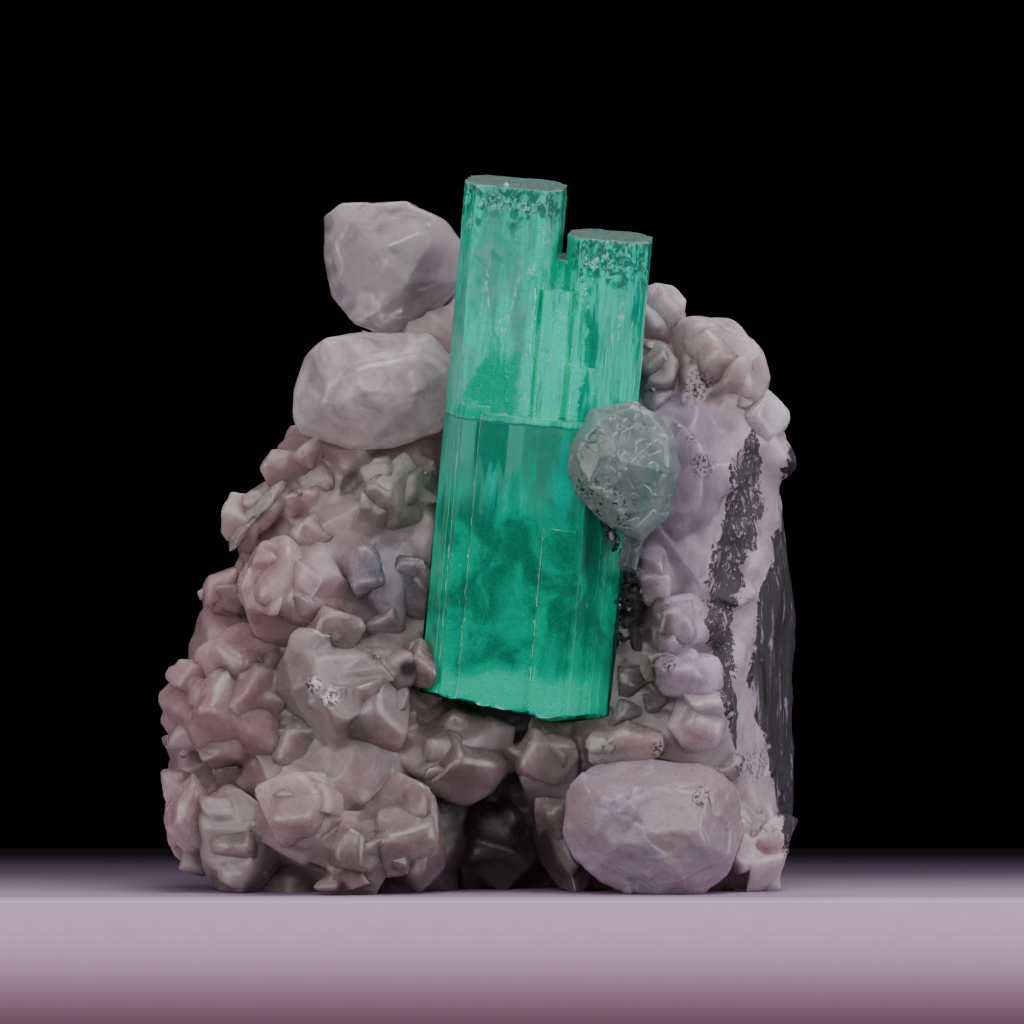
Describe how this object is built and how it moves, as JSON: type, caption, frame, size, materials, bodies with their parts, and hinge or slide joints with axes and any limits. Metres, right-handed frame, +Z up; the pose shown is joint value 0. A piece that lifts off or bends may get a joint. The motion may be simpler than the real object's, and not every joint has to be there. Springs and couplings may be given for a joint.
{
  "type": "emerald in matrix",
  "caption": "Hand-sized mineral specimen: a parallel green emerald crystal group standing in pale calcite crystals, with clear crystals above and black shale behind.",
  "frame": {"origin": "middle of the box at the level of the flat foot that the specimen stands on", "axes": "+Z up, along the specimen's height; the display side with the emerald faces -Y; +X to its right"},
  "size_m": [0.0324, 0.0242, 0.0359],
  "materials": {
    "emerald": "gloss",
    "clear_calcite": "gloss",
    "green_calcite": "gloss",
    "white_calcite": "satin",
    "grey_calcite": "satin",
    "black_shale": "matte"
  },
  "bodies": {
    "root": {"emerald": "emerald", "clear_calcite_upper": "clear_calcite", "clear_calcite_lower": "clear_calcite", "green_tinted_calcite": "green_calcite", "small_quartz": "clear_calcite", "white_calcite_knob": "white_calcite", "calcite_matrix": "grey_calcite", "shale_wallrock": "black_shale"}
  },
  "joints": []
}
